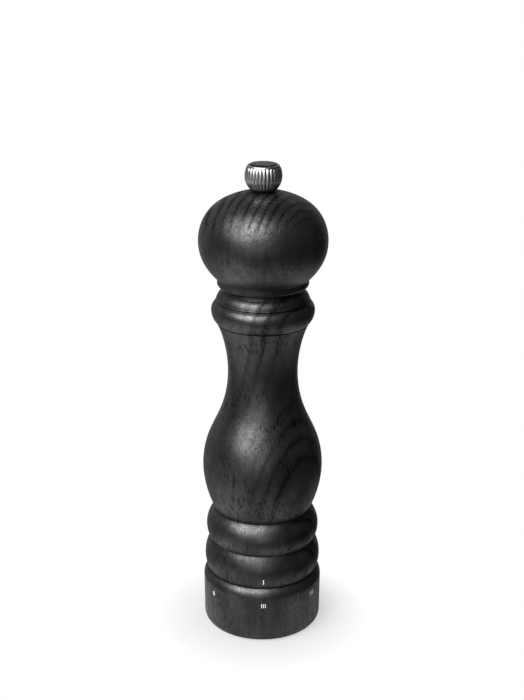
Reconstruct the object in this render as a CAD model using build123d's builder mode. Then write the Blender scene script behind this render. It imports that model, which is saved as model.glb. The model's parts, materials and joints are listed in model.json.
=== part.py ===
"""Pepper mill of turned wood, 22 cm tall, with a steel grinding mechanism set from a ring at its foot.

Millimetres. The origin is the centre of the underside, +Z is up and the front faces -Y.
The pieces are built from the foot up: ring and its mechanism, body, head, knob.
"""

import os
from math import asin, cos, degrees, radians, sin, sqrt

from build123d import *

# --- Clearances ---------------------------------------------------------------------------------
running_gap = 0.05  # a turned steel shaft in its bearings, on the radius
guide_gap = 0.1  # plastic, wood or steel guided by another piece, on the radius
free_gap = 0.3  # pieces that pass or face each other without touching
seat_gap = 0.1  # a piece dropped or pressed into its seat
passing_gap = 0.4  # hidden pieces that sweep past each other

# --- Ring at the foot (wood) --------------------------------------------------------------------
ring_height = 27.0
ring_radius = 27.65
ring_taper = 0.2
ring_foot_round_share = 0.585  # of the ring's wall
ring_shoulder_radius = 6.0
ring_shoulder_start = 22.4

# --- Body outline (wood), upwards from the ring ---------------------------------------------------
low_bead_height = 15.4
low_bead_swell = 2.0
bead_groove_inset = 3.35  # the grooves and the bulb are measured in from the ring's radius
high_bead_height = 15.2
high_bead_swell = 2.8
bulb_groove_inset = 5.45
bulb_rise = 21.5
bulb_inset = 0.11
neck_rise = 46.4
neck_radius = 15.82
collar_rise = 22.26
collar_radius = 20.6
incised_depth = 0.5
incised_width = 0.6
torus_foot_radius = 20.95
torus_radius = 23.2
torus_low_height = 5.55
torus_high_height = 3.95
torus_top_radius = 20.95
lip_height = 1.1
lip_radius = 21.1
quirk_depth = 0.45
quarter_height = 3.7
quarter_radius = 20.9
quarter_top_radius = 18.4
quarter_swell = 0.45
rim_height = 2.3
rim_radius = 17.9
rim_round = 0.4

# --- Body bores ------------------------------------------------------------------------------------
chamber_radius = 12.0
mouth_radius = 15.5
mouth_depth = 10.8

# --- Head (wood) -----------------------------------------------------------------------------------
head_foot_radius = 20.0
head_foot_chamfer = 0.7
collar_edge_radius = 20.45
head_collar_height = 3.1
dome_radius = 28.63
dome_low_height = 16.7
dome_high_height = 22.3
dome_seat_radius = 6.2
head_bore_radius = 4.5
head_neck_length = 7.4
spigot_height = 8.6

# --- Knob (steel) and its cap ---------------------------------------------------------------------
knob_radius = 8.2
knob_low_height = 6.4
knob_ball_height = 8.0
knob_high_height = 5.23
knob_shoulder_radius = 5.9
knob_shoulder_angle = 72.0
flute_count = 28
flute_width = 1.35
flute_depth = 0.45
flute_start_angle = 50.0
flute_rim_angle = 58.0
flute_turn = -3.3
cap_radius = 5.65
cap_edge = 0.25
cap_dome = 0.36
cap_recess = 1.3

# --- Drive shaft (steel) ---------------------------------------------------------------------------
shaft_square = 6.0
shaft_corner_radius = 4.0
pivot_radius = 2.4
pivot_end = 6.6
square_start = 10.6
thread_radius = 2.95
thread_length = 16.8
thread_reach = 7.9  # above the foot of the knob
thread_chamfer = 0.5
clip_groove_radius = 2.7

# --- Mechanism housing (black plastic) -------------------------------------------------------------
barrel_bottom = 5.6
barrel_radius = 16.8
throat_radius = 13.6
bearing_seat_radius = 14.8
bearing_seat_height = 44.0
bearing_seat_depth = 8.0
flange_radius = 22.0
flange_thickness = 2.0
flange_screw_radius = 19.4
flange_screw_count = 3
flange_screw_angle = -90.0

# --- Burrs (steel) ---------------------------------------------------------------------------------
outer_burr_radius = 14.5
outer_burr_bottom = 10.4
outer_burr_height = 11.0
fine_height = 4.4
fine_radius = 11.1
fine_slope = 0.2
funnel_radius = 12.9
outer_teeth = 24
outer_tooth_depth = 0.9
outer_tooth_slant = 10.0
outer_tooth_land = 0.3  # of the pitch
burr_key_count = 3
burr_key_width = 2.0
burr_key_depth = 0.8
burr_key_angle = -90.0
burr_gap = 0.35
rotor_bottom = 9.85
rotor_height = 20.55
rotor_hub_radius = 6.3
rotor_hub_height = 1.6
rotor_teeth = 20
rotor_tooth_depth = 0.9
rotor_tooth_land = 0.35
feed_lobes = 6
feed_land = 0.45
feed_depth = 2.3
feed_top_radius = 7.4
feed_top_depth = 1.2
feed_twist = 66.0

# --- Bearing, spring and clips ---------------------------------------------------------------------
spider_wall = 1.3
spider_arm_width = 2.6
spider_arm_height = 3.6
spider_hub_radius = 6.9
spider_hub_height = 5.2
spider_arm_count = 3
spider_arm_angle = 90.0
bush_radius = 5.3
bush_flange_radius = 6.6
bush_flange_height = 0.8
clip_thickness = 0.7
clip_radius = 5.4
clip_opening = 3.6
spring_wire = 0.8
spring_radius = 5.3
spring_turns = 4.5
collar_thickness = 0.8
spring_collar_radius = 7.0

# --- Burr carrier ------------------------------------------------------------------------------------
carrier_arm_count = 3
carrier_arm_angle = 30.0
carrier_arm_width = 3.0
carrier_arm_height = 3.0
carrier_arm_bottom = 5.8
carrier_hub_radius = 5.5
carrier_hub_height = 3.4
carrier_rim_inner = 17.3
carrier_slot_headroom = 1.1
washer_radius = 5.0
washer_thickness = 0.6

# --- Adjusting ring, its stop, its clip and its click ------------------------------------------------
adjuster_bottom = 1.2
adjuster_radius = 21.5
adjuster_bore_radius = 19.0
adjuster_shelf = 13.3
adjuster_key_count = 3
adjuster_key_width = 4.0
adjuster_key_depth = 1.0
adjuster_key_height = 20.0
adjuster_key_angle = 30.0
setting_count = 6
setting_pitch = 56.0
settings_below = 2
notch_depth = 1.3
notch_half_width = 1.1
notch_top = 20.8
stop_bottom = 23.0
stop_radius = 18.6
stop_half_angle = 6.0
stop_slack = 1.0
circlip_thickness = 1.0
circlip_groove_depth = 0.6
circlip_radius = 18.3
circlip_gap_angle = 16.0
circlip_eye_radius = 0.5
circlip_eye_angle = 4.0
click_length = 9.2
click_height = 4.8
click_thickness = 0.3
click_bump_half_width = 1.5
click_inset = 1.2
click_reach = 0.8

# --- Screws ------------------------------------------------------------------------------------------
housing_screw_radius = 1.25
housing_screw_length = 9.0
housing_screw_head_radius = 2.3
plate_screw_radius = 1.25
plate_screw_length = 7.0
plate_screw_head_radius = 2.3
plate_screw_circle = 9.6
plate_screw_count = 3
plate_screw_angle = 90.0
slot_width = 0.7
slot_depth = 0.5
head_angle_slope = 1.0  # countersunk heads taper at 45 degrees

# --- Head plate (steel) -------------------------------------------------------------------------------
plate_thickness = 1.5
plate_radius = 13.8
plate_square_gap = 0.1

# --- Levels and radii that follow from the sizes above ------------------------------------------------
shoulder_turn = degrees(asin((ring_height - ring_shoulder_start) / ring_shoulder_radius))
seam_radius = ring_radius - ring_shoulder_radius * (1 - cos(radians(shoulder_turn)))
ring_foot_radius = ring_radius - ring_taper
ring_foot_round = ring_foot_round_share * (ring_radius - adjuster_radius)
bead_groove_radius = ring_radius - bead_groove_inset
bulb_groove_radius = ring_radius - bulb_groove_inset
bulb_radius = ring_radius - bulb_inset
barrel_top = bearing_seat_height + bearing_seat_depth
body_bottom = ring_height + free_gap
bead_groove_z = body_bottom + low_bead_height
bulb_groove_z = bead_groove_z + high_bead_height
bulb_z = bulb_groove_z + bulb_rise
neck_z = bulb_z + neck_rise
collar_z = neck_z + collar_rise
torus_bottom = collar_z + incised_width
torus_z = torus_bottom + torus_low_height
quirk_z = torus_z + torus_high_height
quarter_z = quirk_z + lip_height
quarter_top_z = quarter_z + quarter_height
body_top = quarter_top_z + rim_height
head_bottom = body_top + free_gap
head_collar_top = head_bottom + head_collar_height
dome_z = head_collar_top + dome_low_height
head_top = dome_z + dome_high_height
knob_bottom = head_top + seat_gap
knob_z = knob_bottom + knob_low_height
knob_top = knob_z + knob_high_height
shaft_top = knob_bottom + thread_reach
thread_start = shaft_top - thread_length
mouth_bottom = body_top - mouth_depth
spigot_bottom = head_bottom - spigot_height
spigot_radius = mouth_radius - free_gap
plate_bottom = spigot_bottom - plate_thickness
flange_bottom = body_bottom
flange_top = flange_bottom + flange_thickness
pocket_top = barrel_top + free_gap
outer_burr_top = outer_burr_bottom + outer_burr_height
fine_top = outer_burr_bottom + fine_height
fine_top_radius = fine_radius - fine_slope * fine_height
rotor_top = rotor_bottom + rotor_height
hub_bottom = rotor_top - rotor_hub_height
bush_top = bearing_seat_height + spider_hub_height
clip_bottom = bush_top + bush_flange_height + free_gap
backing_clip_top = bearing_seat_height - free_gap
backing_clip_bottom = backing_clip_top - clip_thickness
spring_top = backing_clip_bottom - collar_thickness
circlip_top = adjuster_shelf - free_gap
circlip_bottom = circlip_top - circlip_thickness
circlip_inner = barrel_radius - circlip_groove_depth
carrier_rim_outer = adjuster_bore_radius - free_gap
carrier_arm_top = carrier_arm_bottom + carrier_arm_height
carrier_arm_length = (carrier_rim_outer + carrier_rim_inner) / 2
washer_bottom = carrier_arm_bottom + carrier_hub_height
slot_top = carrier_arm_top + carrier_slot_headroom
upper_bore_radius = barrel_radius + guide_gap

os.makedirs("parts", exist_ok=True)


def bow(start, end, swell):
    """The middle of a chord, moved outwards by swell, for an arc that bows away from the axis."""
    run_r = end[0] - start[0]
    run_z = end[1] - start[1]
    length = sqrt(run_r**2 + run_z**2)
    middle_r = (start[0] + end[0]) / 2 + swell * run_z / length
    middle_z = (start[1] + end[1]) / 2 - swell * run_r / length
    return (middle_r, middle_z)


def between(start, end, rise, swing):
    """A point on the way from start to end: shares of the height and of the change of radius."""
    return (start[0] + swing * (end[0] - start[0]), start[1] + rise * (end[1] - start[1]))


def star_points(count, tip_radius, depth, turn, land):
    """Corners of a toothed outline: each tooth has a flat land at the tip and a sharp root."""
    pitch = 360 / count
    corners = []
    for index in range(count):
        angle = turn + index * pitch
        for offset_angle, radius in (
            (-land * pitch / 2, tip_radius),
            (land * pitch / 2, tip_radius),
            (pitch / 2, tip_radius - depth),
        ):
            direction = radians(angle + offset_angle)
            corners.append((radius * cos(direction), radius * sin(direction)))
    return corners


# =====================================================================================================
# Ring at the foot
# =====================================================================================================
with BuildPart() as selector_ring:
    with BuildSketch(Plane.XZ):
        with BuildLine():
            foot = Line((adjuster_radius + seat_gap, 0), (ring_foot_radius - ring_foot_round, 0))
            foot_round = RadiusArc(
                foot @ 1, (ring_foot_radius, ring_foot_round), -ring_foot_round
            )
            side = Line(foot_round @ 1, (ring_radius, ring_shoulder_start))
            shoulder = JernArc(side @ 1, (0, 1), ring_shoulder_radius, shoulder_turn)
            Polyline(
                shoulder @ 1,
                (adjuster_radius + seat_gap, ring_height),
                foot @ 0,
            )
        make_face()
    revolve(axis=Axis.Z)
    with BuildSketch(Plane.XY):
        with PolarLocations(adjuster_radius, adjuster_key_count, adjuster_key_angle):
            Rectangle(
                2 * (adjuster_key_depth + seat_gap), adjuster_key_width + 2 * seat_gap
            )
    extrude(amount=adjuster_bottom + adjuster_key_height + seat_gap, mode=Mode.SUBTRACT)
selector_ring.part.label = "selector_ring"
export_step(selector_ring.part, "parts/selector_ring.step")

# The plastic ring keyed inside it carries the notches and the stop, and the carrier's thread.
with BuildPart() as adjusting_ring:
    with BuildSketch(Plane.XZ):
        Polygon(
            (adjuster_bore_radius, adjuster_bottom),
            (adjuster_radius, adjuster_bottom),
            (adjuster_radius, ring_height),
            (upper_bore_radius, ring_height),
            (upper_bore_radius, adjuster_shelf),
            (adjuster_bore_radius, adjuster_shelf),
            align=None,
        )
    revolve(axis=Axis.Z)
    with BuildSketch(Plane.XY.offset(adjuster_bottom)):
        with PolarLocations(adjuster_radius, adjuster_key_count, adjuster_key_angle):
            Rectangle(2 * adjuster_key_depth, adjuster_key_width)
        Circle(adjuster_radius - guide_gap, mode=Mode.SUBTRACT)
    extrude(amount=adjuster_key_height)
    # six V notches, one for each grind, that the click spring drops into
    with BuildSketch(Plane.XY.offset(adjuster_shelf)):
        for setting in range(setting_count):
            notch_angle = 90 + (settings_below - setting) * -setting_pitch
            with Locations(Rotation(0, 0, notch_angle)):
                Polygon(
                    (upper_bore_radius - guide_gap, -notch_half_width),
                    (upper_bore_radius + notch_depth, 0),
                    (upper_bore_radius - guide_gap, notch_half_width),
                    align=None,
                )
    extrude(amount=notch_top - adjuster_shelf, mode=Mode.SUBTRACT)
    # the stop groove is open at the top, and the lug on the barrel meets its two ends
    groove_start = -90 - stop_half_angle - stop_slack - settings_below * setting_pitch
    groove_sweep = (setting_count - 1) * setting_pitch + 2 * (stop_half_angle + stop_slack)
    with BuildSketch(Plane.XY.offset(stop_bottom - passing_gap)):
        with BuildLine():
            groove_outer = CenterArc((0, 0), stop_radius + passing_gap, groove_start, groove_sweep)
            groove_inner = CenterArc(
                (0, 0), upper_bore_radius - guide_gap, groove_start, groove_sweep
            )
            Line(groove_outer @ 0, groove_inner @ 0)
            Line(groove_outer @ 1, groove_inner @ 1)
        make_face()
    extrude(amount=ring_height - stop_bottom + passing_gap, mode=Mode.SUBTRACT)
adjusting_ring.part.label = "adjusting_ring"
export_step(adjusting_ring.part, "parts/adjusting_ring.step")

# =====================================================================================================
# Body
# =====================================================================================================
with BuildPart() as wood_body:
    with BuildSketch(Plane.XZ):
        with BuildLine():
            seam = (seam_radius, body_bottom)
            bead_groove = (bead_groove_radius, bead_groove_z)
            bulb_groove = (bulb_groove_radius, bulb_groove_z)
            bulb = (bulb_radius, bulb_z)
            neck = (neck_radius, neck_z)
            collar = (collar_radius, collar_z)
            torus_foot = (torus_foot_radius, torus_bottom)
            torus = (torus_radius, torus_z)
            quirk = (torus_top_radius, quirk_z)
            quarter_foot = (quarter_radius, quarter_z)
            quarter_top = (quarter_top_radius, quarter_top_z)
            ThreePointArc(seam, bow(seam, bead_groove, low_bead_swell), bead_groove)
            ThreePointArc(bead_groove, bow(bead_groove, bulb_groove, high_bead_swell), bulb_groove)
            Spline(
                bulb_groove,
                between(bulb_groove, bulb, 0.425, 0.66),
                bulb,
                between(bulb, neck, 0.296, 0.2),
                between(bulb, neck, 0.555, 0.66),
                between(bulb, neck, 0.736, 0.89),
                neck,
                between(neck, collar, 0.55, 0.3),
                between(neck, collar, 0.81, 0.64),
                collar,
            )
            # incised line, torus, quirk and lip, quarter round, rim
            Polyline(
                collar,
                (collar_radius - incised_depth, collar_z + incised_width / 2),
                torus_foot,
            )
            TangentArc(torus, torus_foot, tangent=(0, -1))
            TangentArc(torus, quirk, tangent=(0, 1))
            Polyline(
                quirk,
                (torus_top_radius - quirk_depth, quirk_z + quirk_depth),
                (lip_radius, quirk_z + 2 * quirk_depth),
                quarter_foot,
            )
            ThreePointArc(quarter_foot, bow(quarter_foot, quarter_top, quarter_swell), quarter_top)
            Polyline(
                quarter_top,
                (rim_radius, body_top - rim_round),
                (rim_radius - rim_round, body_top),
                (mouth_radius, body_top),
                (mouth_radius, mouth_bottom),
                (chamber_radius, mouth_bottom),
                (chamber_radius, pocket_top),
                (barrel_radius + seat_gap, pocket_top),
                (barrel_radius + seat_gap, flange_top),
                (flange_radius + seat_gap, flange_top),
                (flange_radius + seat_gap, body_bottom),
                seam,
            )
        make_face()
    revolve(axis=Axis.Z)
    with BuildSketch(Plane.XY.offset(flange_top)):
        with PolarLocations(flange_screw_radius, flange_screw_count, flange_screw_angle):
            Circle(housing_screw_radius)
    extrude(amount=housing_screw_length, mode=Mode.SUBTRACT)
wood_body.part.label = "wood_body"
export_step(wood_body.part, "parts/wood_body.step")

# =====================================================================================================
# Mechanism housing: barrel, flange, burr seat, arm slots, circlip groove, stop lug, click pocket
# =====================================================================================================
click_seat_y = barrel_radius - click_inset
with BuildPart() as mechanism_housing:
    with BuildSketch(Plane.XZ):
        Polygon(
            (outer_burr_radius + seat_gap, barrel_bottom),
            (barrel_radius, barrel_bottom),
            (barrel_radius, circlip_bottom - seat_gap),
            (circlip_inner, circlip_bottom - seat_gap),
            (circlip_inner, circlip_top + seat_gap),
            (barrel_radius, circlip_top + seat_gap),
            (barrel_radius, flange_bottom),
            (flange_radius, flange_bottom),
            (flange_radius, flange_top),
            (barrel_radius, flange_top),
            (barrel_radius, barrel_top),
            (bearing_seat_radius, barrel_top),
            (bearing_seat_radius, bearing_seat_height),
            (throat_radius, bearing_seat_height),
            (throat_radius, outer_burr_top),
            (outer_burr_radius + seat_gap, outer_burr_top),
            align=None,
        )
    revolve(axis=Axis.Z)
    # slots open at the bottom let the carrier's arms through and stop the carrier from turning
    with BuildSketch(Plane.XY.offset(barrel_bottom)):
        with PolarLocations(barrel_radius, carrier_arm_count, carrier_arm_angle):
            Rectangle(2 * (barrel_radius - throat_radius), carrier_arm_width + 4 * seat_gap)
    extrude(amount=slot_top - barrel_bottom, mode=Mode.SUBTRACT)
    # keyways for the outer burr
    with BuildSketch(Plane.XY.offset(outer_burr_bottom - carrier_slot_headroom)):
        with PolarLocations(outer_burr_radius, burr_key_count, burr_key_angle):
            Rectangle(2 * (burr_key_depth + seat_gap), burr_key_width + 2 * seat_gap)
    extrude(amount=outer_burr_height + carrier_slot_headroom, mode=Mode.SUBTRACT)
    # pocket for the click spring, at the back
    with BuildSketch(Plane.XY.offset(adjuster_shelf + free_gap)):
        with Locations((0, click_seat_y + barrel_radius / 2 - click_thickness / 2)):
            Rectangle(click_length + 2 * seat_gap, barrel_radius)
    extrude(amount=click_height + 2 * seat_gap, mode=Mode.SUBTRACT)
    # stop lug, at the front
    with BuildSketch(Plane.XY.offset(stop_bottom)):
        with BuildLine():
            lug_outer = CenterArc((0, 0), stop_radius, -90 - stop_half_angle, 2 * stop_half_angle)
            lug_inner = CenterArc(
                (0, 0), barrel_radius - seat_gap, -90 - stop_half_angle, 2 * stop_half_angle
            )
            Line(lug_outer @ 0, lug_inner @ 0)
            Line(lug_outer @ 1, lug_inner @ 1)
        make_face()
    extrude(amount=ring_height - stop_bottom - passing_gap)
    with BuildSketch(Plane.XY.offset(flange_bottom)):
        with PolarLocations(flange_screw_radius, flange_screw_count, flange_screw_angle):
            Circle(housing_screw_radius + seat_gap)
    extrude(amount=flange_thickness, mode=Mode.SUBTRACT)
    with Locations(Plane.XY.offset(flange_bottom)):
        with PolarLocations(flange_screw_radius, flange_screw_count, flange_screw_angle):
            Cone(
                housing_screw_head_radius + seat_gap,
                housing_screw_radius + seat_gap,
                (housing_screw_head_radius - housing_screw_radius) * head_angle_slope,
                align=(Align.CENTER, Align.CENTER, Align.MIN),
                mode=Mode.SUBTRACT,
            )
mechanism_housing.part.label = "mechanism_housing"
export_step(mechanism_housing.part, "parts/mechanism_housing.step")


def countersunk_screw(radius, head_radius, length, bottom, place_radius, count, start_angle):
    """Countersunk screws pointing up, on a circle, with a driving slot in each head."""
    head_height = (head_radius - radius) * head_angle_slope
    with BuildPart() as screws:
        with BuildSketch(Plane.XZ):
            with Locations((place_radius, 0)):
                Polygon(
                    (0, bottom),
                    (head_radius, bottom),
                    (radius, bottom + head_height),
                    (radius, bottom + length - radius),
                    (0, bottom + length),
                    align=None,
                )
        revolve(axis=Axis((place_radius, 0, 0), (0, 0, 1)))
        with BuildSketch(Plane.XY.offset(bottom)):
            with Locations((place_radius, 0)):
                Rectangle(2 * head_radius, slot_width)
        extrude(amount=slot_depth, mode=Mode.SUBTRACT)
    with BuildPart() as group:
        with PolarLocations(0, count, start_angle):
            add(screws.part)
    return group


housing_screws = countersunk_screw(
    housing_screw_radius,
    housing_screw_head_radius,
    housing_screw_length,
    flange_bottom,
    flange_screw_radius,
    flange_screw_count,
    flange_screw_angle,
)
housing_screws.part.label = "housing_screws"
export_step(housing_screws.part, "parts/housing_screws.step")

# =====================================================================================================
# Burrs
# =====================================================================================================
# The outer burr's bore is toothed: a fine ring that closes downwards and a funnel that opens upwards.
with BuildPart() as outer_burr:
    with BuildSketch(Plane.XY.offset(outer_burr_bottom)):
        Circle(outer_burr_radius)
        with PolarLocations(outer_burr_radius, burr_key_count, burr_key_angle):
            Rectangle(2 * burr_key_depth, burr_key_width)
    extrude(amount=outer_burr_height)
    fine_turn = outer_tooth_slant * fine_height / outer_burr_height
    for low, high in (
        ((outer_burr_bottom, fine_radius, 0), (fine_top, fine_top_radius, fine_turn)),
        ((fine_top, fine_top_radius, fine_turn), (outer_burr_top, funnel_radius, outer_tooth_slant)),
    ):
        for level, tip, turn in (low, high):
            with BuildSketch(Plane.XY.offset(level)):
                root = tip + outer_tooth_depth
                teeth = star_points(outer_teeth, root, outer_tooth_depth, turn, outer_tooth_land)
                Polygon(*teeth, align=None)
        loft(ruled=True, mode=Mode.SUBTRACT)
outer_burr.part.label = "outer_burr"
export_step(outer_burr.part, "parts/outer_burr.step")

# The inner burr: a fine toothed foot that runs in the outer burr's ring, and long helical lobes that
# draw the corns down and crack them. Its foot stays burr_gap clear of the outer burr all round.
foot_radius = fine_radius - burr_gap + fine_slope * (outer_burr_bottom - rotor_bottom)
waist_radius = fine_top_radius - burr_gap
feed_levels = 4
with BuildPart() as inner_burr:
    for level, tip, turn in (
        (rotor_bottom, foot_radius, 0),
        (fine_top, waist_radius, -outer_tooth_slant),
    ):
        with BuildSketch(Plane.XY.offset(level)):
            Polygon(*star_points(rotor_teeth, tip, rotor_tooth_depth, turn, rotor_tooth_land), align=None)
    loft(ruled=True)
    for step in range(feed_levels):
        for end in (step, step + 1):
            share = end / feed_levels
            tip = waist_radius + share * (feed_top_radius - waist_radius)
            depth = feed_depth + share * (feed_top_depth - feed_depth)
            with BuildSketch(Plane.XY.offset(fine_top + share * (hub_bottom - fine_top))):
                Polygon(*star_points(feed_lobes, tip, depth, -share * feed_twist, feed_land), align=None)
        loft(ruled=True)
    with BuildSketch(Plane.XY.offset(hub_bottom)):
        Circle(rotor_hub_radius)
    extrude(amount=rotor_hub_height)
    with BuildSketch(Plane.XY.offset(rotor_bottom)):
        Rectangle(shaft_square + 2 * plate_square_gap, shaft_square + 2 * plate_square_gap)
    extrude(amount=rotor_height, mode=Mode.SUBTRACT)
inner_burr.part.label = "inner_burr"
export_step(inner_burr.part, "parts/inner_burr.step")

# =====================================================================================================
# Carrier that lifts the inner burr, and its washer
# =====================================================================================================
with BuildPart() as burr_carrier:
    with BuildSketch(Plane.XY.offset(carrier_arm_bottom)):
        Circle(carrier_rim_outer)
        Circle(carrier_rim_inner, mode=Mode.SUBTRACT)
        with PolarLocations(carrier_arm_length / 2, carrier_arm_count, carrier_arm_angle):
            Rectangle(carrier_arm_length, carrier_arm_width)
    extrude(amount=carrier_arm_height)
    with BuildSketch(Plane.XY.offset(carrier_arm_bottom)):
        Circle(carrier_hub_radius)
    extrude(amount=carrier_hub_height)
    with BuildSketch(Plane.XY.offset(carrier_arm_bottom)):
        Circle(pivot_radius + running_gap)
    extrude(amount=carrier_hub_height, mode=Mode.SUBTRACT)
burr_carrier.part.label = "burr_carrier"
export_step(burr_carrier.part, "parts/burr_carrier.step")

with BuildPart() as pivot_washer:
    with BuildSketch(Plane.XY.offset(washer_bottom)):
        Circle(washer_radius)
        Circle(pivot_radius + guide_gap, mode=Mode.SUBTRACT)
    extrude(amount=washer_thickness)
pivot_washer.part.label = "pivot_washer"
export_step(pivot_washer.part, "parts/pivot_washer.step")

# =====================================================================================================
# Circlip and click spring
# =====================================================================================================
with BuildPart() as retaining_circlip:
    with BuildSketch(Plane.XY.offset(circlip_bottom)):
        with BuildLine():
            clip_start = -90 + circlip_gap_angle / 2
            clip_sweep = 360 - circlip_gap_angle
            clip_outer = CenterArc((0, 0), circlip_radius, clip_start, clip_sweep)
            clip_inner = CenterArc((0, 0), circlip_inner + seat_gap, clip_start, clip_sweep)
            Line(clip_outer @ 0, clip_inner @ 0)
            Line(clip_outer @ 1, clip_inner @ 1)
        make_face()
        for side_sign in (-1, 1):
            eye_angle = radians(-90 + side_sign * (circlip_gap_angle / 2 + circlip_eye_angle))
            eye_circle = (circlip_radius + circlip_inner + seat_gap) / 2
            with Locations((eye_circle * cos(eye_angle), eye_circle * sin(eye_angle))):
                Circle(circlip_eye_radius, mode=Mode.SUBTRACT)
    extrude(amount=circlip_thickness)
retaining_circlip.part.label = "retaining_circlip"
export_step(retaining_circlip.part, "parts/retaining_circlip.step")

with BuildPart() as click_spring:
    with BuildSketch(Plane.XY.offset(adjuster_shelf + free_gap + seat_gap)):
        with BuildLine():
            FilletPolyline(
                (-click_length / 2, click_seat_y),
                (-click_bump_half_width, click_seat_y),
                (0, barrel_radius + click_reach + click_thickness),
                (click_bump_half_width, click_seat_y),
                (click_length / 2, click_seat_y),
                radius=click_thickness,
            )
        trace(line_width=click_thickness)
    extrude(amount=click_height)
click_spring.part.label = "click_spring"
export_step(click_spring.part, "parts/click_spring.step")

# =====================================================================================================
# Upper bearing: spider and bush
# =====================================================================================================
with BuildPart() as bearing_spider:
    spider_radius = bearing_seat_radius - seat_gap
    with BuildSketch(Plane.XY.offset(bearing_seat_height)):
        Circle(spider_radius)
        Circle(spider_radius - spider_wall, mode=Mode.SUBTRACT)
    extrude(amount=barrel_top - bearing_seat_height)
    with BuildSketch(Plane.XY.offset(bearing_seat_height)):
        with PolarLocations((spider_radius - spider_wall / 2) / 2, spider_arm_count, spider_arm_angle):
            Rectangle(spider_radius - spider_wall / 2, spider_arm_width)
    extrude(amount=spider_arm_height)
    with BuildSketch(Plane.XY.offset(bearing_seat_height)):
        Circle(spider_hub_radius)
    extrude(amount=spider_hub_height)
    with BuildSketch(Plane.XY.offset(bearing_seat_height)):
        Circle(bush_radius)
    extrude(amount=spider_hub_height, mode=Mode.SUBTRACT)
bearing_spider.part.label = "bearing_spider"
export_step(bearing_spider.part, "parts/bearing_spider.step")

with BuildPart() as shaft_bush:
    with BuildSketch(Plane.XY.offset(bearing_seat_height)):
        Circle(bush_radius - seat_gap / 2)
    extrude(amount=spider_hub_height)
    with BuildSketch(Plane.XY.offset(bush_top)):
        Circle(bush_flange_radius)
    extrude(amount=bush_flange_height)
    with BuildSketch(Plane.XY.offset(bearing_seat_height)):
        Circle(shaft_corner_radius + running_gap)
    extrude(amount=spider_hub_height + bush_flange_height, mode=Mode.SUBTRACT)
shaft_bush.part.label = "shaft_bush"
export_step(shaft_bush.part, "parts/shaft_bush.step")

# =====================================================================================================
# Shaft, clips, collar and spring
# =====================================================================================================
with BuildPart() as drive_shaft:
    with BuildSketch(Plane.XY.offset(square_start)):
        Rectangle(shaft_square, shaft_square)
    extrude(amount=thread_start - square_start)
    with BuildSketch(Plane.XY.offset(square_start)):
        Circle(shaft_corner_radius)
    extrude(amount=thread_start - square_start, mode=Mode.INTERSECT)
    with BuildSketch(Plane.XY.offset(pivot_end)):
        Circle(pivot_radius)
    extrude(amount=square_start - pivot_end)
    with BuildSketch(Plane.XZ):
        Polygon(
            (0, thread_start),
            (thread_radius, thread_start),
            (thread_radius, shaft_top - thread_chamfer),
            (thread_radius - thread_chamfer, shaft_top),
            (0, shaft_top),
            align=None,
        )
    revolve(axis=Axis.Z)
    for groove_z in (clip_bottom, backing_clip_bottom):
        with BuildSketch(Plane.XY.offset(groove_z)):
            Circle(shaft_corner_radius + guide_gap)
            Circle(clip_groove_radius, mode=Mode.SUBTRACT)
        extrude(amount=clip_thickness, mode=Mode.SUBTRACT)
drive_shaft.part.label = "drive_shaft"
export_step(drive_shaft.part, "parts/drive_shaft.step")


def shaft_clip(bottom):
    """An open clip pushed into a groove of the shaft from the side."""
    with BuildPart() as clip:
        with BuildSketch(Plane.XY.offset(bottom)):
            Circle(clip_radius)
            Circle(clip_groove_radius, mode=Mode.SUBTRACT)
            with Locations((0, -clip_radius)):
                Rectangle(clip_opening, 2 * clip_radius, mode=Mode.SUBTRACT)
        extrude(amount=clip_thickness)
    return clip


upper_clip = shaft_clip(clip_bottom)
upper_clip.part.label = "upper_clip"
export_step(upper_clip.part, "parts/upper_clip.step")

lower_clip = shaft_clip(backing_clip_bottom)
lower_clip.part.label = "lower_clip"
export_step(lower_clip.part, "parts/lower_clip.step")

with BuildPart() as spring_collar:
    with BuildSketch(Plane.XY.offset(spring_top)):
        Circle(spring_collar_radius)
        Circle(shaft_corner_radius + guide_gap, mode=Mode.SUBTRACT)
    extrude(amount=collar_thickness)
spring_collar.part.label = "spring_collar"
export_step(spring_collar.part, "parts/spring_collar.step")

coil_bottom = rotor_top + spring_wire / 2 + seat_gap
coil_top = spring_top - spring_wire / 2 - seat_gap
with BuildPart() as burr_spring:
    with BuildLine() as coil:
        Helix(
            (coil_top - coil_bottom) / spring_turns,
            coil_top - coil_bottom,
            spring_radius,
            center=(0, 0, coil_bottom),
        )
    with BuildSketch(Plane(coil.line @ 0, x_dir=(1, 0, 0), z_dir=coil.line % 0)):
        Rectangle(spring_wire, spring_wire)
    sweep(is_frenet=True)
burr_spring.part.label = "burr_spring"
export_step(burr_spring.part, "parts/burr_spring.step")

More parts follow.
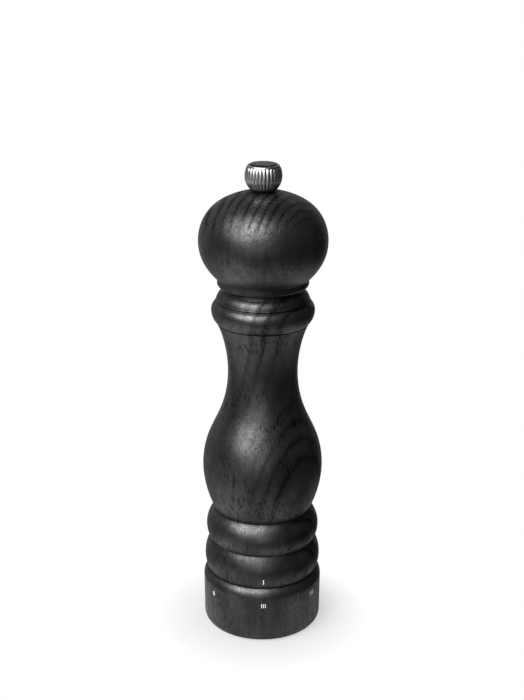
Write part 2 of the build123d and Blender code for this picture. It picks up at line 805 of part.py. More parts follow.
# =====================================================================================================
# Head, its plate and its screws
# =====================================================================================================
with BuildPart() as head:
    with BuildSketch(Plane.XZ):
        with BuildLine():
            Polyline(
                (head_bore_radius, spigot_bottom),
                (spigot_radius, spigot_bottom),
                (spigot_radius, head_bottom),
                (head_foot_radius, head_bottom),
                (collar_edge_radius, head_bottom + head_foot_chamfer),
                (collar_edge_radius, head_collar_top),
            )
            collar_edge = (collar_edge_radius, head_collar_top)
            equator = (dome_radius, dome_z)
            crown = (dome_seat_radius, head_top)
            Spline(
                collar_edge,
                between(collar_edge, equator, 0.26, 0.48),
                between(collar_edge, equator, 0.59, 0.85),
                equator,
                between(equator, crown, 0.38, 0.072),
                between(equator, crown, 0.68, 0.282),
                between(equator, crown, 0.89, 0.635),
                crown,
            )
            Polyline(
                crown,
                (thread_radius + free_gap, head_top),
                (thread_radius + free_gap, head_top - head_neck_length),
                (head_bore_radius, head_top - head_neck_length),
                (head_bore_radius, spigot_bottom),
            )
        make_face()
    revolve(axis=Axis.Z)
    with BuildSketch(Plane.XY.offset(spigot_bottom)):
        with PolarLocations(plate_screw_circle, plate_screw_count, plate_screw_angle):
            Circle(plate_screw_radius)
    extrude(amount=plate_screw_length - plate_thickness, mode=Mode.SUBTRACT)
head.part.label = "head"
export_step(head.part, "parts/head.step")

with BuildPart() as drive_plate:
    with BuildSketch(Plane.XY.offset(plate_bottom)):
        Circle(plate_radius)
        Rectangle(
            shaft_square + 2 * plate_square_gap, shaft_square + 2 * plate_square_gap, mode=Mode.SUBTRACT
        )
        with PolarLocations(plate_screw_circle, plate_screw_count, plate_screw_angle):
            Circle(plate_screw_radius + seat_gap, mode=Mode.SUBTRACT)
    extrude(amount=plate_thickness)
    with Locations(Plane.XY.offset(plate_bottom)):
        with PolarLocations(plate_screw_circle, plate_screw_count, plate_screw_angle):
            Cone(
                plate_screw_head_radius + seat_gap,
                plate_screw_radius + seat_gap,
                (plate_screw_head_radius - plate_screw_radius) * head_angle_slope,
                align=(Align.CENTER, Align.CENTER, Align.MIN),
                mode=Mode.SUBTRACT,
            )
drive_plate.part.label = "drive_plate"
export_step(drive_plate.part, "parts/drive_plate.step")

drive_plate_screws = countersunk_screw(
    plate_screw_radius,
    plate_screw_head_radius,
    plate_screw_length,
    plate_bottom,
    plate_screw_circle,
    plate_screw_count,
    plate_screw_angle,
)
drive_plate_screws.part.label = "drive_plate_screws"
export_step(drive_plate_screws.part, "parts/drive_plate_screws.step")

# =====================================================================================================
# Knob and cap
# =====================================================================================================
knob_foot_angle = degrees(asin(knob_low_height / knob_ball_height))
knob_foot_radius = knob_radius * cos(radians(knob_foot_angle))
knob_high_swell = knob_radius - knob_shoulder_radius

# One flute is a V swept along the knob's side; it is cut all round.
with BuildPart() as flute:
    with BuildLine(Plane.XZ) as flute_line:
        flute_low = EllipticalCenterArc(
            (0, knob_z),
            knob_radius,
            knob_ball_height,
            -flute_start_angle,
            arc_size=flute_start_angle,
        )
        EllipticalCenterArc(
            (knob_shoulder_radius, knob_z),
            knob_high_swell,
            knob_high_height,
            0,
            arc_size=flute_rim_angle,
        )
    with BuildSketch(Plane(flute_low @ 0, x_dir=(0, 1, 0), z_dir=flute_low % 0)):
        Polygon(
            (-flute_width / 2, -flute_depth / 4),
            (flute_width / 2, -flute_depth / 4),
            (0, flute_depth),
            align=None,
        )
    sweep(path=flute_line.wires()[0])

with BuildPart() as knob:
    with BuildSketch(Plane.XZ):
        with BuildLine():
            # nearly a ball below the widest place, a flatter curve above it, then the rim
            EllipticalCenterArc(
                (0, knob_z), knob_radius, knob_ball_height, -knob_foot_angle, arc_size=knob_foot_angle
            )
            high_side = EllipticalCenterArc(
                (knob_shoulder_radius, knob_z),
                knob_high_swell,
                knob_high_height,
                0,
                arc_size=knob_shoulder_angle,
            )
            rim_inner = (cap_radius + seat_gap, knob_top)
            TangentArc(high_side @ 1, rim_inner, tangent=high_side % 1)
            Polyline(
                rim_inner,
                (cap_radius + seat_gap, knob_top - cap_recess),
                (0, knob_top - cap_recess),
                (0, shaft_top + free_gap),
                (thread_radius + guide_gap, shaft_top + free_gap),
                (thread_radius + guide_gap, knob_bottom),
                (knob_foot_radius, knob_bottom),
            )
        make_face()
    revolve(axis=Axis.Z)
    with PolarLocations(0, flute_count, start_angle=flute_turn):
        add(flute.part, mode=Mode.SUBTRACT)
knob.part.label = "knob"
export_step(knob.part, "parts/knob.step")

cap_dome_radius = (cap_radius**2 + cap_dome**2) / (2 * cap_dome)
with BuildPart() as knob_cap:
    with BuildSketch(Plane.XZ):
        cap_bottom = knob_top - cap_recess + seat_gap
        with BuildLine():
            cap_arc = JernArc(
                (0, knob_top + cap_edge + cap_dome),
                (1, 0),
                cap_dome_radius,
                -degrees(asin(cap_radius / cap_dome_radius)),
            )
            Polyline(cap_arc @ 1, (cap_radius, cap_bottom), (0, cap_bottom), cap_arc @ 0)
        make_face()
    revolve(axis=Axis.Z)
knob_cap.part.label = "knob_cap"
export_step(knob_cap.part, "parts/knob_cap.step")
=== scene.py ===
"""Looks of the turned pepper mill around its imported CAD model: materials, fluted knob, marks, stage and camera."""

import json
import math

import bmesh
import bpy
from mathutils import Matrix, Vector
from mathutils.bvhtree import BVHTree


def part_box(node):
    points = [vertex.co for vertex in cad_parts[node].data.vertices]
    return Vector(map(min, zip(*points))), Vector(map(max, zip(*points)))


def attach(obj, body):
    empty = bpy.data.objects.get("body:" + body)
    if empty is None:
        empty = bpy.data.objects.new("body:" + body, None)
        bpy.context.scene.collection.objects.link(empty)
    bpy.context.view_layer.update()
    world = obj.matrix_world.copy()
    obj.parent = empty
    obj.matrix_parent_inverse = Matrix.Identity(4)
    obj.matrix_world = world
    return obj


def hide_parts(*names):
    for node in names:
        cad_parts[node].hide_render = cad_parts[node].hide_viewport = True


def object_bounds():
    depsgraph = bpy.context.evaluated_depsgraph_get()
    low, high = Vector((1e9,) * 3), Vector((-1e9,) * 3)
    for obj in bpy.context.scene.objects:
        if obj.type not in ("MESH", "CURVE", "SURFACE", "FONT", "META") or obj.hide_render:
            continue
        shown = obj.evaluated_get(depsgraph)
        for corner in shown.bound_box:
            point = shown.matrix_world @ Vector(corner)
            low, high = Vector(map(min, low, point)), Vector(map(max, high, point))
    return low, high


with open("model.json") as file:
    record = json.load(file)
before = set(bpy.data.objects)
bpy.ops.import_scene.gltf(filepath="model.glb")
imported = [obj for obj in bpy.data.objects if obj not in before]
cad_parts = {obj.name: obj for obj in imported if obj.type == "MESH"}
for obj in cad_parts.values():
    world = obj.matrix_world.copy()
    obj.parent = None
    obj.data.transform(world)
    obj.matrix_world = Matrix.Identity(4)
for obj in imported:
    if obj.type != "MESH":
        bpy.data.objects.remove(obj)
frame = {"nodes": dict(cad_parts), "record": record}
cad_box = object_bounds()
MM = 0.001


# --- Node helpers -----------------------------------------------------------------------------------
class Shader:
    """A node material with a Principled BSDF, and short ways to add nodes to it."""

    def __init__(self, name):
        self.material = bpy.data.materials.new(name)
        self.material.use_nodes = True
        self.tree = self.material.node_tree
        self.bsdf = self.tree.nodes["Principled BSDF"]
        self.object_place = self.add("ShaderNodeTexCoord").outputs["Object"]

    def feed(self, socket, value):
        """Links another node's output to the socket, or sets the socket to a plain value."""
        if isinstance(value, bpy.types.NodeSocket):
            self.tree.links.new(value, socket)
        else:
            socket.default_value = value

    def add(self, kind, settings=None, **inputs):
        node = self.tree.nodes.new(kind)
        for key, value in (settings or {}).items():
            setattr(node, key, value)
        for key, value in inputs.items():
            self.feed(node.inputs[key.replace("_", " ")], value)
        return node

    def wire(self, output, socket_name):
        self.tree.links.new(output, self.bsdf.inputs[socket_name])

    def place(self, scale, location=(0, 0, 0), rotation=(0, 0, 0)):
        return self.add(
            "ShaderNodeMapping",
            Vector=self.object_place,
            Scale=scale,
            Location=location,
            Rotation=rotation,
        ).outputs["Vector"]

    def noise(self, scale, detail=3.0, roughness=0.55, location=(0, 0, 0)):
        return self.add(
            "ShaderNodeTexNoise",
            Vector=self.place(scale, location),
            Scale=1.0,
            Detail=detail,
            Roughness=roughness,
        ).outputs["Fac"]

    def remap(self, value, low, high, to_low, to_high):
        return self.add(
            "ShaderNodeMapRange",
            Value=value,
            From_Min=low,
            From_Max=high,
            To_Min=to_low,
            To_Max=to_high,
        ).outputs["Result"]

    def math(self, operation, first, second):
        node = self.add("ShaderNodeMath", {"operation": operation})
        self.feed(node.inputs[0], first)
        self.feed(node.inputs[1], second)
        return node.outputs["Value"]

    def product(self, first, *factors):
        for factor in factors:
            first = self.math("MULTIPLY", first, factor)
        return first

    def vector_math(self, operation, *values):
        node = self.add("ShaderNodeVectorMath", {"operation": operation})
        for socket, value in zip(node.inputs, values):
            self.feed(socket, value)
        return node.outputs

    def ramp(self, value, stops):
        node = self.add("ShaderNodeValToRGB", Fac=value)
        elements = node.color_ramp.elements
        while len(elements) < len(stops):
            elements.new(0.5)
        for element, (position, colour) in zip(elements, stops):
            element.position = position
            element.color = (*colour, 1.0)
        return node.outputs["Color"]

    def mix(self, factor, first, second):
        node = self.add("ShaderNodeMix", {"data_type": "RGBA"})
        sockets = [s for s in node.inputs if s.enabled]
        for socket, value in zip(sockets, (factor, first, second)):
            self.feed(socket, value)
        return next(s for s in node.outputs if s.enabled)

    def bump(self, height, distance, strength=1.0):
        normal = self.add(
            "ShaderNodeBump", Height=height, Distance=distance, Strength=strength
        ).outputs["Normal"]
        self.wire(normal, "Normal")


# --- Wood -------------------------------------------------------------------------------------------
STAIN_DARK_AND_SHADE = (0.0008, 0.0008, 0.0009, 1)
STAIN_LIGHT = (0.013, 0.0127, 0.0124, 1)
RING_SWING = 7.0 * MM  # how far the growth rings stray from true circles
GROOVE_SHADE_REACH = 3.0 * MM  # how near another surface the stain gets painted shade
WOOD_RELIEF = 0.00002  # metres, as all bump depths


def stained_wood(name, centre, axis, density, shown, strength, fleck):
    """Black stain on turned beech: growth rings, flecks, pores and clouds, with painted shade in grooves and where
    parts meet.

    The rings go round a pith line through centre along axis. shown is a direction and, in mm along it, where
    the rings begin and reach full strength, and their least share before that.
    """
    s = Shader(name)
    along = Vector(axis).normalized()
    helper = Vector((0, 0, 1)) if abs(along.z) < 0.8 else Vector((1, 0, 0))
    across = helper.cross(along).normalized()
    turn = Matrix((across, along.cross(across), along))
    mean_sway = Vector((RING_SWING / 2, RING_SWING / 2, 0))
    pith = s.place((1, 1, 1), -(turn @ Vector(centre)) - mean_sway, turn.to_euler())
    sway = s.add("ShaderNodeTexNoise", Vector=s.place((30, 30, 12)), Scale=1.0, Detail=2.0, Roughness=0.5)
    lean = s.vector_math("MULTIPLY_ADD", sway.outputs["Color"], (RING_SWING, RING_SWING, 0), pith)
    rings = s.add(
        "ShaderNodeTexWave",
        {"wave_type": "RINGS", "rings_direction": "Z", "wave_profile": "SAW"},
        Vector=lean["Vector"],
        Scale=density,
        Distortion=1.1,
        Detail=3.0,
        Detail_Scale=7.0,
        Detail_Roughness=0.65,
    ).outputs["Fac"]
    growth = s.ramp(
        rings,
        (
            (0.0, (0.6, 0.6, 0.6)),
            (0.25, (0.0, 0.0, 0.0)),
            (0.6, (0.1, 0.1, 0.1)),
            (0.85, (1.0, 1.0, 1.0)),
            (1.0, (0.9, 0.9, 0.9)),
        ),
    )
    direction, low, high, least = shown
    side = s.vector_math("DOT_PRODUCT", s.object_place, Vector(direction).normalized())["Value"]
    near = s.remap(side, low * MM, high * MM, least, 1.0)
    presence = s.remap(s.noise((48, 48, 30), 2.0, 0.5, (5.2, 1.9, 8.4)), 0.36, 0.56, 0.35, 1.0)
    dashes = s.noise((1000, 1000, 230), 2.0, 0.5, (4.4, 0.8, 2.9))
    broken = s.remap(dashes, 0.36, 0.6, 1.4, 0.8)
    ring_dark = s.math("MULTIPLY", s.math("MULTIPLY", growth, presence), s.math("MULTIPLY", near, broken))
    streaks = s.noise((520, 520, 26), 3.0, 0.55)
    patches = s.noise((95, 95, 34), 3.0, 0.6, (3.1, 7.7, 1.3))
    pores = s.noise((2600, 2600, 700), 2.0, 0.65)
    speck = s.noise((1100, 1100, 420), 2.0, 0.6, (9.4, 2.2, 6.1))
    flecked = s.math(
        "MULTIPLY",
        s.remap(dashes, 0.36, 0.47, 1.0, 0.0),
        s.remap(s.noise((45, 45, 110), 2.0, 0.5, (1.2, 6.6, 3.7)), 0.46, 0.6, 0.1, 1.0),
    )
    # Painted shade: ambient occlusion darkens the stain's colour and sheen in grooves and where parts meet.
    groove_shade = s.add("ShaderNodeAmbientOcclusion", Distance=GROOVE_SHADE_REACH).outputs["AO"]
    tone = s.product(
        s.remap(streaks, 0.3, 0.7, 0.85, 1.12),
        s.remap(patches, 0.32, 0.68, 0.72, 1.25),
        s.remap(speck, 0.3, 0.6, 0.85, 1.08),
        s.remap(pores, 0.34, 0.44, 0.7, 1.0),
        s.remap(flecked, 0.0, 1.0, 1.03, 1.03 - fleck),
        s.remap(ring_dark, 0.0, 1.0, 1.0, 1.0 - strength),
        s.remap(groove_shade, 0.45, 0.95, 0.2, 1.0),
    )
    # The dark end is both the darkest stain and the painted shade in grooves.
    s.wire(s.mix(s.remap(tone, 0.2, 1.3, 0.0, 1.0), STAIN_DARK_AND_SHADE, STAIN_LIGHT), "Base Color")
    s.wire(s.remap(s.math("MULTIPLY", speck, tone), 0.2, 0.65, 0.4, 0.27), "Roughness")
    s.wire(s.remap(tone, 0.3, 1.2, 0.2, 0.9), "Specular IOR Level")
    relief = s.math("ADD", s.remap(pores, 0.34, 0.48, 0.0, 1.0), s.remap(ring_dark, 0.0, 1.0, 1.0, 0.0))
    relief = s.math("ADD", relief, s.remap(speck, 0.3, 0.6, 0.0, 0.8))
    s.bump(relief, WOOD_RELIEF)
    return s.material


# --- Metals and plastics ------------------------------------------------------------------------------
METAL_RELIEF = 0.000004
PLASTIC_RELIEF = 0.00001
CAP_RELIEF = 0.00003
INK_RELIEF = 0.00001


def metal(name, light, dark, rough_low, rough_high, grain=(900, 900, 900)):
    """A metal whose tone and roughness vary with fine working marks and a wide cloud."""
    s = Shader(name)
    marks = s.noise(grain, 4.0, 0.6)
    cloud = s.noise((140, 140, 140), 2.0, 0.5, (1.7, 0.4, 5.2))
    tone = s.math("MULTIPLY", marks, cloud)
    s.wire(s.mix(s.remap(tone, 0.16, 0.34, 0.0, 1.0), (*dark, 1), (*light, 1)), "Base Color")
    s.wire(s.remap(marks, 0.35, 0.65, rough_low, rough_high), "Roughness")
    s.bsdf.inputs["Metallic"].default_value = 1.0
    s.bump(marks, METAL_RELIEF)
    return s.material


def plastic(name, light, dark, rough_low, rough_high):
    """Moulded plastic with a fine spark-eroded grain and a slight cloud."""
    s = Shader(name)
    grain = s.noise((3200, 3200, 3200), 2.0, 0.6)
    cloud = s.noise((110, 110, 110), 3.0, 0.5, (2.3, 4.1, 0.7))
    s.wire(s.mix(s.remap(cloud, 0.3, 0.7, 0.0, 1.0), (*dark, 1), (*light, 1)), "Base Color")
    s.wire(s.remap(cloud, 0.3, 0.7, rough_low, rough_high), "Roughness")
    s.bump(grain, PLASTIC_RELIEF)
    return s.material


def spun_cap():
    """Dark gloss cap with a fine embossed grain that breaks up what it mirrors; its side is painted near-black and
    matte as painted shade, and its top lighter.
    """
    s = Shader("gloss_cap")
    grain = s.noise((900, 900, 900), 2.0, 0.6)
    # Painted shade: faces that turn away from up get a near-black, matte tone with little sheen, and the top gets a
    # lighter one.
    normal = s.add("ShaderNodeTexCoord").outputs["Normal"]
    upward = s.add("ShaderNodeSeparateXYZ", Vector=normal).outputs["Z"]
    painted_top_light = s.remap(upward, 0.4, 0.8, 0.0, 1.0)
    tone = s.math("MULTIPLY", painted_top_light, s.remap(grain, 0.36, 0.6, 0.15, 1.0))
    s.wire(s.mix(tone, (0.002, 0.002, 0.002, 1), (0.04, 0.04, 0.042, 1)), "Base Color")
    s.wire(s.remap(tone, 0.0, 1.0, 0.42, 0.16), "Roughness")
    s.wire(s.remap(painted_top_light, 0.0, 1.0, 0.05, 0.5), "Specular IOR Level")
    s.bump(grain, CAP_RELIEF)
    return s.material


def print_paint():
    """White pad-printed ink, thinner and greyer where the wood's pores take it up."""
    s = Shader("print_paint")
    pores = s.noise((1900, 1900, 420), 3.0, 0.6)
    cover = s.remap(pores, 0.28, 0.42, 0.0, 1.0)
    s.wire(s.mix(cover, (0.42, 0.42, 0.41, 1), (0.86, 0.86, 0.85, 1)), "Base Color")
    s.wire(s.remap(pores, 0.3, 0.7, 0.6, 0.45), "Roughness")
    s.bump(pores, INK_RELIEF)
    return s.material


MATERIALS = {
    "black_plastic": plastic("black_plastic", (0.034, 0.034, 0.036), (0.022, 0.022, 0.024), 0.42, 0.52),
    "zinc_steel": metal("zinc_steel", (0.66, 0.68, 0.7), (0.5, 0.51, 0.53), 0.26, 0.4),
    "burr_steel": metal("burr_steel", (0.36, 0.35, 0.34), (0.2, 0.2, 0.21), 0.34, 0.5),
    "spring_steel": metal("spring_steel", (0.55, 0.55, 0.57), (0.36, 0.36, 0.38), 0.22, 0.34),
    "shaft_steel": metal("shaft_steel", (0.7, 0.7, 0.71), (0.52, 0.52, 0.54), 0.22, 0.36, (1600, 1600, 60)),
    "brass": metal("brass", (0.82, 0.62, 0.3), (0.66, 0.47, 0.2), 0.24, 0.38),
    "polished_steel": metal("polished_steel", (0.58, 0.57, 0.56), (0.46, 0.455, 0.45), 0.26, 0.34, (700, 700, 700)),
    "gloss_cap": spun_cap(),
}
PAINT = print_paint()
WOOD = {
    "head": stained_wood(
        "head_wood",
        centre=(0.0205, -0.0175, 0.1885),
        axis=(0.05, -0.94, 0.333),
        density=88.0,
        shown=((-0.15, 0, 1), 191, 198, 0.05),
        strength=0.8,
        fleck=0.35,
    ),
    "wood_body": stained_wood(
        "body_wood",
        centre=(0.05, -0.045, 0.0865),
        axis=(0.3, -0.1, 1),
        density=62.0,
        shown=((1, 0, 0.1), 2, 16, 0.3),
        strength=0.62,
        fleck=0.6,
    ),
    "selector_ring": stained_wood(
        "ring_wood",
        centre=(-0.02, -0.02, 0.012),
        axis=(-0.7, -0.7, 0.1),
        density=78.0,
        shown=((-1, 0, 0), 5, 20, 0.1),
        strength=0.25,
        fleck=0.18,
    ),
}

for part in frame["record"]["subparts"]:
    node = frame["nodes"][part["node"]]
    if not node.material_slots:
        node.data.materials.append(None)
    for slot in node.material_slots:
        slot.link = "OBJECT"
        slot.material = WOOD.get(part["node"]) or MATERIALS[part["material_slot"]]


# --- Building meshes ------------------------------------------------------------------------------------
def piece_from(name, build, body, material, smooth_angle):
    """A new object from a function that fills a bmesh; it rides on the body and takes the given material."""
    mesh = bpy.data.meshes.new(name)
    bm = bmesh.new()
    build(bm)
    bmesh.ops.recalc_face_normals(bm, faces=bm.faces)
    for face in bm.faces:
        face.smooth = True
    bm.to_mesh(mesh)
    bm.free()
    piece = bpy.data.objects.new(name, mesh)
    bpy.context.scene.collection.objects.link(piece)
    mesh.materials.append(material)
    mesh.set_sharp_from_angle(angle=math.radians(smooth_angle))
    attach(piece, body)
    return piece


def lathe(bm, rings, count):
    """Joins rings of points, each a list of count points round the axis or one point on it."""
    made = [[bm.verts.new(point) for point in ring] for ring in rings]
    for low, high in zip(made, made[1:]):
        for index in range(count):
            after = (index + 1) % count
            if len(low) == 1:
                bm.faces.new((low[0], high[after], high[index]))
            elif len(high) == 1:
                bm.faces.new((low[index], low[after], high[0]))
            else:
                bm.faces.new((low[index], low[after], high[after], high[index]))
    return made


def circle(radius, z, count, turn=0.0):
    angles = [turn + math.tau * k / count for k in range(count)]
    return [(radius * math.cos(angle), radius * math.sin(angle), z) for angle in angles]


# --- Knob -------------------------------------------------------------------------------------------------
RIDGES = 28
RIDGE_TURN = math.radians(-3.3)
RIDGE_STEPS = 14
RIDGE_HEIGHT = 0.3 * MM
RIM_HEIGHT = 0.62 * MM
RIM_GROOVE = 0.18 * MM
RIM_FLAT = 0.1 * MM
RIM_DROP = 0.14 * MM
RIM_STEPS = 8
CAP_GAP = 0.28 * MM
CAP_BED = 0.1 * MM  # under the cap
CAP_LIP = 0.04 * MM  # the rim's inner edge below its top
PETAL = 1.0 * MM
CREST_POWER = 2.2  # how full a ridge is across
FOOT_FADE = 0.05  # share of the height over which the ridges begin
KNOB_LEVELS = 52
LEVEL_EDGE = 1e-4  # keeps the end levels on the knob's skin
KNOB_RAY_START = 50 * MM  # clear of the knob, for rays cast towards its axis
KNOB_BORE = 3.05 * MM
KNOB_BORE_TOP = 3.2 * MM  # below the knob's top


def skin_of(node_name):
    """A search tree over a CAD node's faces, to lay pieces on it."""
    return BVHTree.FromObject(frame["nodes"][node_name], bpy.context.evaluated_depsgraph_get())


def build_knob(bm):
    """Apple-shaped ball with rounded ridges that end in petals under a rounded rim, bored from below."""
    lo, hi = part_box("knob")
    cap_lo, cap_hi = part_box("knob_cap")
    tree = skin_of("knob")

    def envelope(z):
        reach = 0.0
        for step in range(RIDGE_STEPS):
            angle = RIDGE_TURN + math.tau * step / RIDGE_STEPS / RIDGES
            away = Vector((math.cos(angle), math.sin(angle), 0))
            hit = tree.ray_cast(away * KNOB_RAY_START + Vector((0, 0, z)), -away)[0]
            if hit is not None:
                reach = max(reach, Vector((hit.x, hit.y)).length)
        return reach

    count = RIDGES * RIDGE_STEPS
    top = hi.z - RIM_DROP
    rim_foot = top - RIM_HEIGHT
    petal_top = rim_foot - RIM_GROOVE
    rings = []
    for level in range(KNOB_LEVELS + 1):
        share = level / KNOB_LEVELS
        z = lo.z + (hi.z - lo.z) * min(1 - LEVEL_EDGE, max(LEVEL_EDGE, share))
        if z >= rim_foot:
            break
        outer = envelope(z)
        fade = min(1.0, share / FOOT_FADE)
        ring = []
        for k in range(count):
            phase = (k % RIDGE_STEPS) / RIDGE_STEPS * 2 - 1
            reach = max(0.0, (z - (petal_top - PETAL)) / PETAL)
            half = math.sqrt(max(0.0, 1 - reach * reach))
            crest = 0.0
            if half > 0.05 and abs(phase) < half:
                crest = (1 - abs(phase / half) ** CREST_POWER) * min(1.0, 0.35 + 0.65 * half)
            radius = outer - RIDGE_HEIGHT * (1 - crest) * fade
            angle = RIDGE_TURN + math.tau * k / count
            ring.append((radius * math.cos(angle), radius * math.sin(angle), z))
        rings.append(ring)
    recess = (cap_hi.x - cap_lo.x) / 2 + CAP_GAP
    rim_in = recess + RIM_FLAT
    rim_out = envelope(rim_foot)
    rings.append(circle(rim_out - RIDGE_HEIGHT, rim_foot, count, RIDGE_TURN))
    for step in range(RIM_STEPS + 1):
        bend = math.radians(90 * step / RIM_STEPS)
        radius = rim_in + (rim_out - rim_in) * math.cos(bend)
        rings.append(circle(radius, top - RIM_HEIGHT * (1 - math.sin(bend)), count, RIDGE_TURN))
    rings.append(circle(recess, top - CAP_LIP, count, RIDGE_TURN))
    rings.append(circle(recess, cap_lo.z - CAP_BED, count, RIDGE_TURN))
    rings.append([(0, 0, cap_lo.z - CAP_BED)])
    foot = lathe(bm, rings, count)[0]
    bore_top = hi.z - KNOB_BORE_TOP
    under = [
        [(0, 0, bore_top)],
        circle(KNOB_BORE, bore_top, count, RIDGE_TURN),
        circle(KNOB_BORE, lo.z, count, RIDGE_TURN),
    ]
    inner = lathe(bm, under, count)
    for index in range(count):
        after = (index + 1) % count
        bm.faces.new((inner[-1][index], inner[-1][after], foot[after], foot[index]))


knob = piece_from("knob_fluted", build_knob, "knob", MATERIALS["polished_steel"], 50)
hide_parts("knob")


# --- Printed marks ------------------------------------------------------------------------------------------
FRONT = math.radians(-90 + 1.3)
SETTINGS = 6
SETTING_PITCH = math.radians(56)
FRONT_SETTING = 2  # counted from 0
RING_MARK = {"low": 18.3 * MM, "high": 20.4 * MM, "width": 0.36 * MM, "pitch": 0.85 * MM}
BODY_MARK = {"low": 29.7 * MM, "high": 32.4 * MM, "width": 0.5 * MM, "pitch": 0}
MARK_ROWS = 9
MARK_END = 0.72  # width of a bar's ends, as a share of the bar's
INK = 0.03 * MM
MARK_RAY_START = 60 * MM  # clear of the body and the ring


def bars_on(bm, node_name, angle, count, low, high, width, pitch):
    """Upright bars, side by side, that lie on the outside of a turned node around an angle."""
    tree = skin_of(node_name)
    for bar in range(count):
        shift = (bar - (count - 1) / 2) * pitch
        skins = []
        for lift in (INK, -INK):
            grid = []
            for row in range(MARK_ROWS):
                share = row / (MARK_ROWS - 1)
                z = low + (high - low) * share
                pinch = MARK_END if row in (0, MARK_ROWS - 1) else 1.0
                line = []
                for side in (-1, -0.5, 0, 0.5, 1):
                    across = shift + side * pinch * width / 2
                    centre = Vector((math.cos(angle), math.sin(angle), 0))
                    tangent = Vector((-math.sin(angle), math.cos(angle), 0))
                    start = centre * MARK_RAY_START + tangent * across + Vector((0, 0, z))
                    hit, normal = tree.ray_cast(start, -centre)[:2]
                    line.append(bm.verts.new(hit + normal * lift))
                grid.append(line)
            skins.append(grid)
        top, under = skins
        last = len(top[0]) - 1
        for row in range(MARK_ROWS - 1):
            for column in range(last):
                for grid in skins:
                    lower, upper = grid[row], grid[row + 1]
                    bm.faces.new((lower[column], lower[column + 1], upper[column + 1], upper[column]))
            for column in (0, last):
                bm.faces.new((top[row][column], top[row + 1][column], under[row + 1][column], under[row][column]))
        for row in (0, MARK_ROWS - 1):
            for column in range(last):
                bm.faces.new((top[row][column], top[row][column + 1], under[row][column + 1], under[row][column]))


def build_ring_marks(bm):
    for setting in range(SETTINGS):
        angle = FRONT + (setting - FRONT_SETTING) * SETTING_PITCH
        bars_on(bm, "selector_ring", angle, setting + 1, **RING_MARK)


def build_body_mark(bm):
    bars_on(bm, "wood_body", FRONT, 1, **BODY_MARK)


piece_from("ring_marks", build_ring_marks, "selector", PAINT, 40)
piece_from("body_mark", build_body_mark, "body", PAINT, 40)


# --- Stage: floor, world, lamps ---------------------------------------------------------------------------------
FLOOR_RADIUS = 0.06
FLOOR_DROP = 0.05 * MM  # under the mill, so that the two faces don't flicker
SHADOW_FROM, SHADOW_TO = 0.029, 0.05  # radii between which the floor fades to white


def build_floor():
    """A pale disc: it takes the mill's shadow near the foot and shows white to the camera further out."""
    s = Shader("floor")
    s.bsdf.inputs["Roughness"].default_value = 0.85
    s.bsdf.inputs["Specular IOR Level"].default_value = 0.2
    spread = s.noise((40, 40, 40), 2.0, 0.5)
    s.wire(s.mix(spread, (0.36, 0.36, 0.36, 1), (0.38, 0.38, 0.38, 1)), "Base Color")
    distance = s.vector_math("LENGTH", s.object_place)["Value"]
    rays = s.add("ShaderNodeLightPath")
    far = s.remap(distance, SHADOW_FROM, SHADOW_TO, 0.6, 1.0)
    seen = s.math("MULTIPLY", far, rays.outputs["Is Camera Ray"])
    white = s.add("ShaderNodeEmission", Color=(1, 1, 1, 1), Strength=1.0)
    blend = s.add("ShaderNodeMixShader")
    for socket, value in zip(blend.inputs, (seen, s.bsdf.outputs["BSDF"], white.outputs["Emission"])):
        s.feed(socket, value)
    output = s.tree.nodes["Material Output"]
    s.tree.links.new(blend.outputs["Shader"], output.inputs["Surface"])
    bm = bmesh.new()
    bmesh.ops.create_circle(bm, cap_ends=True, radius=FLOOR_RADIUS, segments=96)
    mesh = bpy.data.meshes.new("floor")
    bm.to_mesh(mesh)
    bm.free()
    mesh.materials.append(s.material)
    floor = bpy.data.objects.new("floor", mesh)
    floor.location = (0, 0, cad_box[0].z - FLOOR_DROP)
    bpy.context.scene.collection.objects.link(floor)


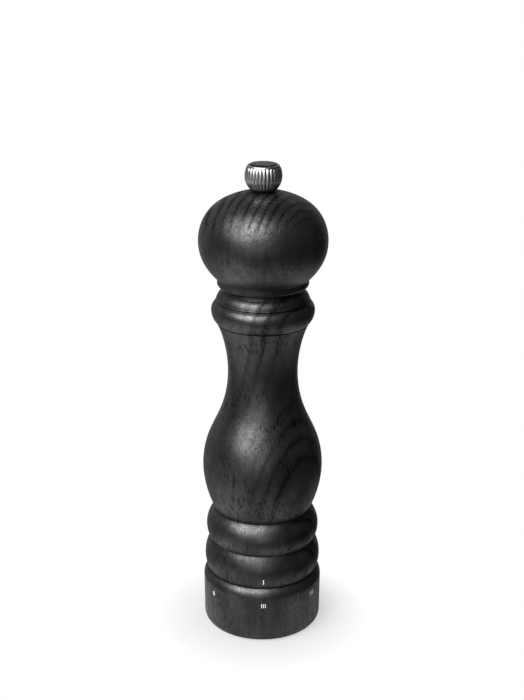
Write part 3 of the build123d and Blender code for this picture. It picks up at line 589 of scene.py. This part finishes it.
def build_world():
    """A dim room: white where the camera looks, and a bright table and a paler backdrop in reflections."""
    world = bpy.data.worlds.new("studio")
    bpy.context.scene.world = world
    world.use_nodes = True
    nodes, links = world.node_tree.nodes, world.node_tree.links
    place = nodes.new("ShaderNodeTexCoord")

    def bright_towards(direction, low, high, top):
        facing = nodes.new("ShaderNodeVectorMath")
        facing.operation = "DOT_PRODUCT"
        links.new(place.outputs["Generated"], facing.inputs[0])
        facing.inputs[1].default_value = Vector(direction).normalized()
        edge = nodes.new("ShaderNodeMapRange")
        edge.interpolation_type = "SMOOTHSTEP"
        edge.inputs["From Min"].default_value = low
        edge.inputs["From Max"].default_value = high
        edge.inputs["To Max"].default_value = top
        links.new(facing.outputs["Value"], edge.inputs["Value"])
        return edge.outputs["Result"]

    def combine(operation, first, second):
        node = nodes.new("ShaderNodeMath")
        node.operation = operation
        links.new(first, node.inputs[0])
        links.new(second, node.inputs[1])
        return node.outputs["Value"]

    rays = nodes.new("ShaderNodeLightPath")
    table = bright_towards((0, 0, -1), 0.34, 0.9, 0.6)
    lit_side = bright_towards((-0.656, -0.265, -0.707), 0.65, 1.0, 0.68)
    table = combine("ADD", table, lit_side)
    backdrop = bright_towards((-0.35, 0.94, 0), 0.3, 0.9, 0.25)
    mirrored = combine("MAXIMUM", rays.outputs["Is Glossy Ray"], rays.outputs["Is Transmission Ray"])
    around = combine("MULTIPLY", combine("MAXIMUM", table, backdrop), mirrored)
    tone = nodes.new("ShaderNodeMix")
    tone.data_type = "RGBA"
    sockets = [s for s in tone.inputs if s.enabled]
    links.new(combine("MAXIMUM", rays.outputs["Is Camera Ray"], around), sockets[0])
    sockets[1].default_value = (0.03, 0.03, 0.03, 1)
    sockets[2].default_value = (1, 1, 1, 1)
    links.new(next(s for s in tone.outputs if s.enabled), nodes["Background"].inputs["Color"])


def softbox(name, azimuth, elevation, distance, width, power, aim):
    """A round lamp that dims towards its edge: azimuth 0 is in front, and positive turns to the right."""
    light = bpy.data.lights.new(name, "AREA")
    light.shape = "DISK"
    light.size = width
    light.spread = 2 * math.atan(width / 2 / distance)
    light.energy = power
    lamp = bpy.data.objects.new(name, light)
    a, e = math.radians(azimuth), math.radians(elevation)
    away = Vector((math.sin(a) * math.cos(e), -math.cos(a) * math.cos(e), math.sin(e)))
    lamp.location = Vector(aim) + away * distance
    lamp.rotation_mode = "QUATERNION"
    lamp.rotation_quaternion = away.to_track_quat("Z", "Y")
    lamp.visible_camera = False
    bpy.context.scene.collection.objects.link(lamp)


build_floor()
build_world()
middle = (0, 0, (cad_box[0].z + cad_box[1].z) / 2)
softbox("key", -38, 50, 1.1, 1.7, 14.0, middle)
softbox("low", -16, 14, 1.1, 1.5, 1.2, middle)

# --- Camera ---------------------------------------------------------------------------------------------------------
camera = bpy.data.objects.new("camera", bpy.data.cameras.new("camera"))
camera.data.lens = 67.82
camera.data.sensor_width = 36
camera.location = (-0.0004, -0.5607, 0.3327)
camera.rotation_euler = (math.radians(90 - 19.456), math.radians(-0.17), math.radians(0.06))
bpy.context.scene.collection.objects.link(camera)
bpy.context.scene.camera = camera
bpy.context.scene.view_settings.view_transform = "Standard"
